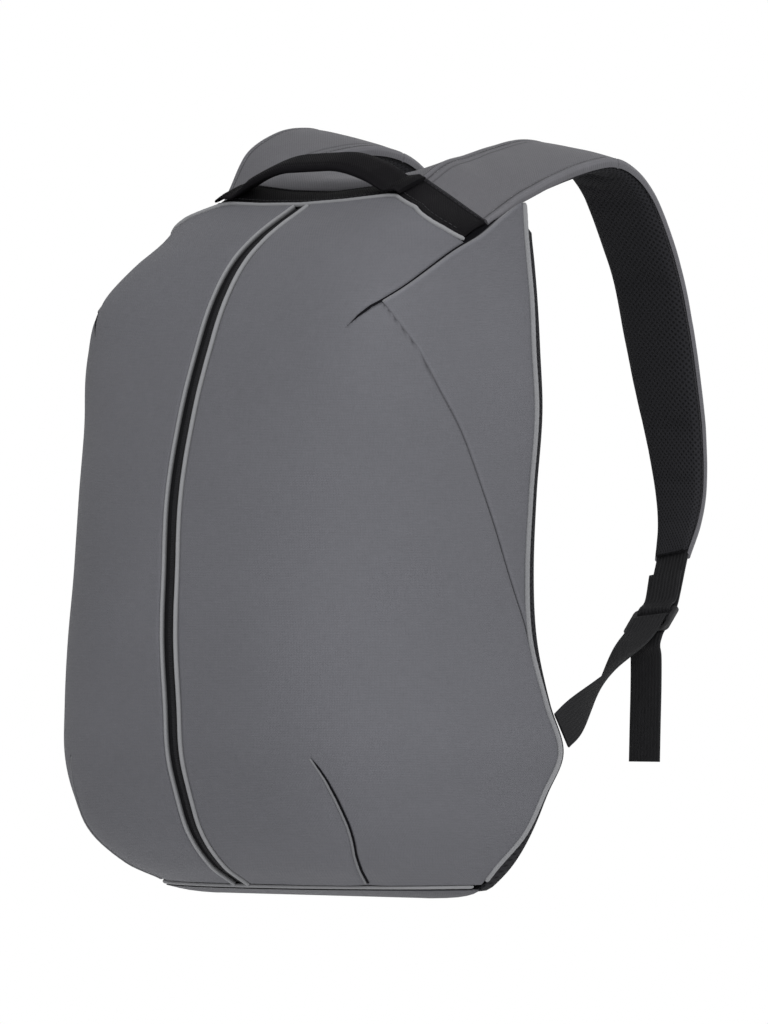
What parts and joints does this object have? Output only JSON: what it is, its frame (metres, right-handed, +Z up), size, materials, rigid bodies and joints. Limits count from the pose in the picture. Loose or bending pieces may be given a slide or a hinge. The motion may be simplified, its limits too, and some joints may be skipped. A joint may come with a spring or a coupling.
{
  "type": "anti theft backpack",
  "caption": "Smooth curved shell backpack with a hidden centre zip, black top band with carry handle, and padded shoulder straps in their worn shape.",
  "frame": {"origin": "on the padded back panel's face toward the wearer, at its middle, 330 mm above the base: where the bag rests on the wearer's back", "axes": "+Z up, +Y toward the wearer and out of the back panel, +X the wearer's right; the zip side faces -Y"},
  "size_m": [0.3144, 0.3682, 0.4803],
  "materials": {
    "grey_cloth": "matt woven polyester with a faint sheen",
    "pale_edge": "matt folded cloth edge and piping",
    "black_cloth": "smooth matt black cloth",
    "black_mesh": "black spacer mesh",
    "black_webbing": "ribbed black webbing",
    "black_plastic": "fine textured black plastic"
  },
  "bodies": {
    "root": {"front_panel_right": "grey_cloth", "front_panel_left": "grey_cloth", "side_wing_right": "grey_cloth", "side_wing_left": "grey_cloth", "centre_strip": "black_cloth", "centre_welt_right": "pale_edge", "centre_welt_left": "pale_edge", "side_piping_right": "pale_edge", "side_piping_left": "pale_edge", "top_piping": "pale_edge", "base_piping": "pale_edge", "base_panel": "grey_cloth", "top_band": "black_cloth", "carry_handle": "black_cloth", "yoke": "grey_cloth", "back_panel": "black_mesh", "strap_cover_right": "grey_cloth", "strap_cover_left": "grey_cloth", "strap_pad_right": "black_mesh", "strap_pad_left": "black_mesh", "strap_loop_right": "black_webbing", "strap_loop_left": "black_webbing", "ladder_lock_right": "black_plastic", "ladder_lock_left": "black_plastic", "adjuster_webbing_right": "black_webbing", "adjuster_webbing_left": "black_webbing"}
  },
  "joints": []
}
